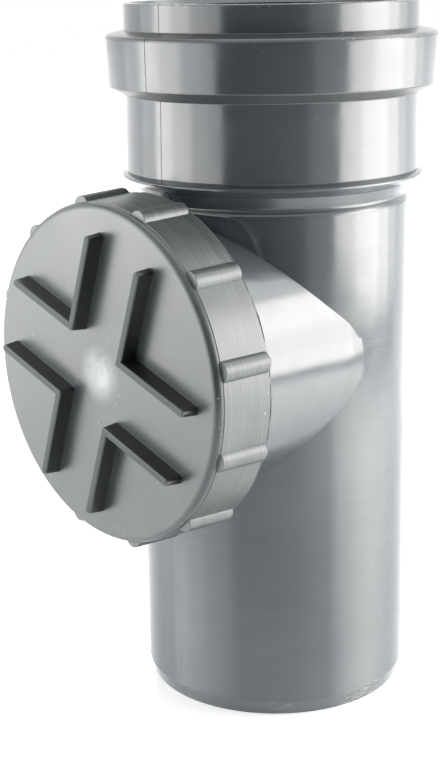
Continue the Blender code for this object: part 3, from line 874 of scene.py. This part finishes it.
def moulded_pipe_plastic():
    """Grey polypropylene, injection moulded and glossy: sharp reflections that ripple a little, flow marks,
    a parting line drawn in painted shade, painted shade under and on the bead, and pale scuffs where the
    edges have been knocked."""
    material, tree = blank_material("moulded_grey_polypropylene")
    place = add(tree, "TexCoord", {}).outputs["Object"]
    axes = add(tree, "SeparateXYZ", {"Vector": place})
    across, depth, height = (axes.outputs[axis] for axis in "XYZ")
    flow = grain(tree, place, FLOW_SIZE, 0.3, 0.7, 3.0)

    # Faint level streaks along the barrel
    drag = grain(tree, place, DRAG_SIZE, 0.35, 0.70, 2.0, DRAG_STRETCH)
    drag = strongest(tree, (drag, band(tree, height, SPIGOT_CHAMFER_HEIGHT, neck_height, 0.002)))

    # Painted shade in the slope under the bead and on the shoulder above it
    under_bead = band(tree, height, socket_top, bead_low, 0.0006)
    on_shoulder = band(tree, height, bead_top - SHOULDER_WIDTH, lip_foot, 0.0008)
    painted_shade = strongest(tree, (under_bead, UNDER_BEAD_SHADE), (on_shoulder, SHOULDER_SHADE))

    # Short pale nicks along the shoulder and the rim
    nicks = grain(tree, place, NICK_SIZE, 0.64, 0.70, 1.0, NICK_STRETCH)
    drifts = grain(tree, place, NICK_DRIFT_SIZE, 0.48, 0.56, 1.0)
    on_rim = band(tree, height, rim_height - RIM_WEAR_HEIGHT, rim_height, 0.0006)
    edges = strongest(tree, (on_shoulder,), (on_rim,))

    # Pale scuffs on the spigot's chamfer, in the places where it has been knocked
    scuffs = grain(tree, place, SCUFF_SIZE, 0.50, 0.66, 2.0, SCUFF_STRETCH)
    foot = band(tree, height, 0.0, SCUFF_HEIGHT, 0.0012)
    knocks = []
    for (right, behind, above), radius, share in KNOCKS:
        knocks.append((spot(tree, place, (right, axis_y + behind, above), radius), share))
    knocked = strongest(tree, *knocks)

    # Short level ticks beside the branch
    ticks = grain(tree, place, TICK_SIZE, 0.60, 0.70, 0.0, TICK_STRETCH)
    in_depth = band(tree, depth, axis_y - 0.003, axis_y + 0.008, 0.001)
    in_height = band(tree, height, *TICKS_HEIGHT, 0.003)
    in_width = band(tree, across, *TICKS_ACROSS, 0.001)
    beside = strongest(tree, (in_depth, in_height, in_width))
    marks = strongest(
        tree,
        (nicks, drifts, edges, NICK_SHARE),
        (scuffs, foot, knocked),
        (ticks, beside, TICK_SHARE),
    )

    # A fine scatter of dust, in drifts
    specks = grain(tree, place, DUST_SIZE, 0.74, 0.80)
    dusty = grain(tree, place, DUST_DRIFT_SIZE, 0.52, 0.66, 1.0)

    # Painted shade along the parting line of the two mould halves, which wanders a little along the socket
    wander = grain(tree, place, PARTING_LINE_WANDER_SIZE, 0.0, 1.0, 1.0)
    shift = {"Value": wander, "To Min": -PARTING_LINE_WANDER, "To Max": PARTING_LINE_WANDER}
    from_line = add(tree, "Math", {0: across, 1: add(tree, "MapRange", shift)}, operation="ADD")
    line = band(tree, from_line, -PARTING_LINE_HALF, PARTING_LINE_HALF, PARTING_LINE_SOFT)
    on_socket = band(tree, height, neck_height, rim_height, 0.001)

    colour = painted(
        tree,
        linear("#4b5157"),
        ("#555b61", flow),
        ("#666c71", drag, DRAG_SHARE),
        # painted shade under the bead and on its shoulder
        ("#37342f", painted_shade),
        ("#b4b4ae", marks, MARK_SHARE),
        ("#8d9192", specks, dusty, DUST_SHARE),
        # painted shade along the parting line
        ("#17181a", line, on_socket, PARTING_SHADE_SHARE),
    )
    haze = strongest(tree, (grain(tree, place, HAZE_SIZE, 0.35, 0.75, 3.0),), (drag, DRAG_HAZE))
    dull = strongest(tree, (haze, HAZE_SHARE), (marks,), (painted_shade,))
    finish(tree, colour, dull, PIPE_ROUGHNESS, moulded_wall(tree, place, marks), PLASTIC_REFLECTION)
    return material


def moulded_cap_plastic():
    """The same plastic in the cap, which hands and tools have dulled: a soft mottle on the face, a pale
    patch at its middle that is a painted highlight, fine streaks round the skirt, and painted shade on the
    ribs."""
    material, tree = blank_material("handled_grey_polypropylene")
    place = add(tree, "TexCoord", {}).outputs["Object"]
    depth = add(tree, "SeparateXYZ", {"Vector": place}).outputs["Y"]
    mottle = grain(tree, place, MOTTLE_SIZE, 0.25, 0.75, 3.0)

    # Streaks that run round the skirt, finer across than along
    skirt = band(tree, depth, axis_y - ledge_reach, axis_y - cap_rear, 0.0003)
    streaks = grain(tree, place, STREAK_SIZE, 0.35, 0.75, 2.0, STREAK_STRETCH)
    patches = grain(tree, place, STREAK_PATCH_SIZE, 0.30, 0.70, 2.0)
    streaked = strongest(tree, (streaks, patches, skirt))

    # A painted highlight: a pale patch around the gate, and small nicks
    cloud = grain(tree, place, PAINTED_HIGHLIGHT_CLOUD_SIZE, 0.05, 0.55, 2.0)
    middle = spot(tree, place, (PAINTED_HIGHLIGHT_SHIFT, axis_y - cap_face, branch_height), PAINTED_HIGHLIGHT_RADIUS)
    drifts = grain(tree, place, CAP_NICK_DRIFT_SIZE, 0.58, 0.66, 1.0)
    nicks = strongest(tree, (grain(tree, place, CAP_NICK_SIZE, 0.78, 0.82), drifts))
    marks = strongest(tree, (nicks,), (streaked, STREAK_RELIEF))

    # Painted shade darkens the sides and the flat tops of the ribs, but not the rounded edges between them
    rib_top = axis_y - cap_reach
    sides = band(tree, depth, rib_top + RIB_EDGE_DEPTH, axis_y - cap_face - RIB_FOOT_GAP, 0.0003)
    tops = band(tree, depth, rib_top - OVERRUN, rib_top + RIB_TOP_DEPTH, 0.00006)
    painted_shade = strongest(tree, (sides, RIB_SIDE_SHADE), (tops, RIB_TOP_SHADE))

    colour = painted(
        tree,
        linear("#40474a"),
        ("#4d5556", mottle),
        ("#8d918b", streaked, STREAK_SHARE),
        # a painted highlight at the middle of the face
        ("#ccd1cf", middle, cloud, PAINTED_HIGHLIGHT_SHARE),
        ("#b5b8b4", nicks, MARK_SHARE),
        # painted shade on the sides and tops of the ribs
        ("#121618", painted_shade),
    )
    dull = strongest(tree, (mottle, MOTTLE_HAZE), (skirt, SKIRT_HAZE), (tops,))
    finish(tree, colour, dull, CAP_ROUGHNESS, moulded_wall(tree, place, marks), PLASTIC_REFLECTION)
    return material


def seal_rubber(name, rough):
    """Black EPDM rubber: nearly black, dull, with a faint grey bloom and a fine moulded grain."""
    material, tree = blank_material(name)
    place = add(tree, "TexCoord", {}).outputs["Object"]
    bloom = grain(tree, place, BLOOM_SIZE, 0.40, 0.70, 3.0)
    colour = painted(tree, linear("#191919"), ("#2a2a2b", bloom))
    moulded = grain(tree, place, RUBBER_GRAIN_SIZE, 0.2, 0.8, 1.0)
    finish(tree, colour, bloom, (rough, rough + BLOOM_ROUGHNESS), [(moulded, RUBBER_GRAIN_DEPTH)], {})
    return material


make_pipe_shell(moulded_pipe_plastic())
make_lip_ring(seal_rubber("lip_ring_rubber", 0.45))
make_flat_gasket(seal_rubber("flat_gasket_rubber", 0.55))
make_cap_shell(moulded_cap_plastic())

# Camera, worked out from the picture: it stands off the pipe's axis, turned and tipped a little
CAMERA_DISTANCE = 0.6222
CAMERA_HEIGHT = 0.2961
CAMERA_AZIMUTH = 45.438
CAMERA_HEADING = 47.506
CAMERA_PITCH = 15.154
CAMERA_ROLL = -0.896
CAMERA_LENS = 72.40
CAMERA_SENSOR = 36.0


def make_camera():
    """The camera of the picture."""
    data = bpy.data.cameras.new("camera")
    data.lens = CAMERA_LENS
    data.sensor_width = CAMERA_SENSOR
    data.sensor_fit = "AUTO"
    obj = bpy.data.objects.new("camera", data)
    bpy.context.scene.collection.objects.link(obj)
    azimuth = math.radians(CAMERA_AZIMUTH)
    place = Vector((math.sin(azimuth), -math.cos(azimuth), 0.0)) * CAMERA_DISTANCE
    place += Vector((0.0, axis_y, CAMERA_HEIGHT))
    turn = (
        Matrix.Rotation(math.radians(CAMERA_HEADING), 4, "Z")
        @ Matrix.Rotation(math.radians(90.0 - CAMERA_PITCH), 4, "X")
        @ Matrix.Rotation(math.radians(CAMERA_ROLL), 4, "Z")
    )
    obj.matrix_world = Matrix.Translation(place) @ turn
    bpy.context.scene.camera = obj


make_camera()

# A light tent stands round the pipe and opens towards the camera: soft white walls and a ceiling.
# Its places are measured from the pipe's axis, to the right, to the front and up.
TENT_HEADING = 51.0
TENT_RIGHT = 0.600
TENT_LEFT = -0.521
TENT_BACK = -0.293
TENT_FRONT = 0.579
TENT_HEIGHT = 0.550
TENT_MIDDLE_LEFT = -0.15
TENT_MIDDLE_RIGHT = 0.23
CEILING_FRONT = 0.14
LAMP_LIFT = 0.002
WALL_FOOT = 0.038
WARM_WHITE = (1.0, 0.985, 0.94)
NEUTRAL_WHITE = (1.0, 1.0, 0.99)

# The energy of a panel of one square metre for a glow of 1
ENERGY_PER_GLOW = 4.0

# The floor is a large glossy board, which mirrors the walls of the tent up into the lower pipe. What
# the camera sees of it also glows: less near the pipe, where the lamps light it, and to full white
# far away, so that it has no horizon.
FLOOR_SIZE = 8.0
FLOOR_ROUGHNESS = 0.32
FLOOR_IOR = 1.6
FLOOR_SPECULAR = 1.0
FLOOR_COAT_IOR = 2.4
GLOW_NEAR = 0.52
GLOW_NEAR_RADIUS = 0.20
GLOW_FAR_RADIUS = 0.60

to_front = Vector((math.sin(math.radians(TENT_HEADING)), -math.cos(math.radians(TENT_HEADING)), 0.0))
to_right = Vector((-to_front.y, to_front.x, 0.0))
tent_middle = Vector((0.0, axis_y, 0.0))


def tent_point(right, front, height):
    """A point of the tent in the scene, from its place across, along and above the tent's floor."""
    return tent_middle + to_right * right + to_front * front + Vector(Z_AXIS) * height


def soft_panel(name, rights, fronts, heights, glow, tint):
    """A lamp that fills a flat piece of the tent and glows evenly inwards, unseen by the camera."""
    low = Vector((rights[0], fronts[0], heights[0]))
    high = Vector((rights[1], fronts[1], heights[1]))
    middle = (low + high) / 2
    spans = [axis for axis in range(3) if high[axis] > low[axis]]
    directions = (to_right, to_front, Vector(Z_AXIS))
    across, up = (directions[axis] for axis in spans)
    outward = across.cross(up)
    flat_axis = ({0, 1, 2} - set(spans)).pop()
    inside = Vector((0.0, 0.0, TENT_HEIGHT / 2))
    if outward.dot(directions[flat_axis] * (middle[flat_axis] - inside[flat_axis])) < 0.0:
        across, up = up, across
        spans.reverse()
        outward = -outward
    data = bpy.data.lights.new(name, "AREA")
    data.shape = "RECTANGLE"
    data.size = high[spans[0]] - low[spans[0]]
    data.size_y = high[spans[1]] - low[spans[1]]
    data.energy = ENERGY_PER_GLOW * data.size * data.size_y * glow
    data.color = tint
    obj = bpy.data.objects.new(name, data)
    turn = Matrix((across, up, outward)).transposed().to_4x4()
    obj.matrix_world = Matrix.Translation(tent_point(*middle)) @ turn
    obj.visible_camera = False
    bpy.context.scene.collection.objects.link(obj)


def wall_panels(name, wall, foot, edges, rows, tint):
    """Lamps along a side wall: each row has its top and its glows from the back to the front."""
    for row, (top, glows) in enumerate(rows):
        for column, glow in enumerate(glows):
            fronts = (edges[column], edges[column + 1])
            soft_panel(f"{name}_{row}_{column}", (wall, wall), fronts, (foot, top), glow, tint)
        foot = top


wall_panels(
    "right_wall",
    TENT_RIGHT,
    WALL_FOOT,
    (TENT_BACK, -0.148, -0.002, 0.143, 0.288, 0.434, TENT_FRONT),
    ((0.294, (1.5, 3.8, 5.7, 5.9, 4.2, 3.6)), (TENT_HEIGHT, (0.5, 2.4, 6.8, 6.8, 5.2, 1.6))),
    WARM_WHITE,
)
wall_panels(
    "left_wall",
    TENT_LEFT,
    LAMP_LIFT,
    (TENT_BACK, -0.100, 0.060, 0.230, 0.405, TENT_FRONT),
    (
        (0.110, (2.0, 1.7, 1.6, 0.9, 0.6)),
        (0.330, (1.0, 4.0, 2.8, 1.3, 0.9)),
        (TENT_HEIGHT, (0.8, 2.8, 2.2, 1.2, 0.5)),
    ),
    NEUTRAL_WHITE,
)
for name, front, rights, glow in (
    ("back_left", TENT_BACK, (TENT_LEFT, TENT_MIDDLE_LEFT), 0.2),
    ("back_middle", TENT_BACK, (TENT_MIDDLE_LEFT, TENT_MIDDLE_RIGHT), 0.5),
    ("back_right", TENT_BACK, (TENT_MIDDLE_RIGHT, TENT_RIGHT), 0.4),
    ("front_right", TENT_FRONT - LAMP_LIFT, (TENT_MIDDLE_RIGHT, TENT_RIGHT), 0.45),
):
    soft_panel(name, rights, (front, front), (LAMP_LIFT, TENT_HEIGHT), glow, NEUTRAL_WHITE)
for name, rights, glow in (
    ("ceiling_middle", (TENT_MIDDLE_LEFT, TENT_MIDDLE_RIGHT), 0.7),
    ("ceiling_right", (TENT_MIDDLE_RIGHT, TENT_RIGHT), 2.3),
):
    soft_panel(name, rights, (TENT_BACK, CEILING_FRONT), (TENT_HEIGHT, TENT_HEIGHT), glow, NEUTRAL_WHITE)


def flat_sheet(name, middle, across, up):
    """A flat sheet of the studio, not part of the pipe."""
    bm = bmesh.new()
    corners = ((-0.5, -0.5), (0.5, -0.5), (0.5, 0.5), (-0.5, 0.5))
    bm.faces.new([bm.verts.new(middle + across * a + up * b) for a, b in corners])
    mesh = bpy.data.meshes.new(name)
    bm.to_mesh(mesh)
    bm.free()
    obj = bpy.data.objects.new(name, mesh)
    bpy.context.scene.collection.objects.link(obj)
    return obj


def seen_directly(tree):
    """A factor of 1 for rays from the camera and in mirrors and glass, and 0 for the rest."""
    path = add(tree, "LightPath", {}).outputs
    kinds = ("Is Camera Ray", "Is Glossy Ray", "Is Transmission Ray")
    return strongest(tree, *[(path[kind],) for kind in kinds])


def make_floor():
    """The white floor, which keeps the pipe's shadow."""
    floor = flat_sheet("floor", tent_middle, Vector((FLOOR_SIZE, 0.0, 0.0)), Vector((0.0, FLOOR_SIZE, 0.0)))
    material, tree = blank_material("white_studio_floor")
    board = add(
        tree,
        "BsdfPrincipled",
        {
            "Base Color": linear("#f1f4f6"),
            "Roughness": FLOOR_ROUGHNESS,
            "IOR": FLOOR_IOR,
            "Specular IOR Level": FLOOR_SPECULAR,
            "Coat Weight": 1.0,
            "Coat Roughness": FLOOR_ROUGHNESS,
            "Coat IOR": FLOOR_COAT_IOR,
        },
    )
    place = add(tree, "TexCoord", {}).outputs["Object"]
    away = add(tree, "VectorMath", {0: place, 1: tent_middle}, operation="DISTANCE").outputs["Value"]
    levels = {"From Min": GLOW_NEAR_RADIUS, "From Max": GLOW_FAR_RADIUS, "To Min": GLOW_NEAR, "To Max": 1.0}
    level = add(tree, "MapRange", {"Value": away, **levels}, interpolation_type="SMOOTHSTEP")
    glow = add(tree, "Emission", {"Strength": strongest(tree, (level, seen_directly(tree)))})
    lit = add(tree, "AddShader", {0: board, 1: glow})
    add(tree, "OutputMaterial", {"Surface": lit})
    floor.data.materials.append(material)


def make_dark_front():
    """A dark sheet, unseen by the camera, that stands for the dim room beyond the tent's open front, which
    the plastic mirrors.
    """
    middle = tent_point((TENT_LEFT + TENT_RIGHT) / 2, TENT_FRONT, TENT_HEIGHT / 2)
    card = flat_sheet("dark_room", middle, to_right * (TENT_RIGHT - TENT_LEFT), Vector(Z_AXIS) * TENT_HEIGHT)
    card.visible_camera = False
    material, tree = blank_material("dark_room")
    diffuse = add(tree, "BsdfDiffuse", {"Color": linear("#404040")})
    add(tree, "OutputMaterial", {"Surface": diffuse})
    card.data.materials.append(material)


def make_world():
    """A white background that lights nothing."""
    world = bpy.data.worlds.new("white_room")
    bpy.context.scene.world = world
    world.use_nodes = True
    tree = world.node_tree
    tree.nodes.clear()
    white = add(tree, "Background", {"Color": (1.0, 1.0, 1.0, 1.0), "Strength": seen_directly(tree)})
    add(tree, "OutputWorld", {"Surface": white})


make_floor()
make_dark_front()
make_world()
bpy.context.scene.view_settings.view_transform = "Standard"
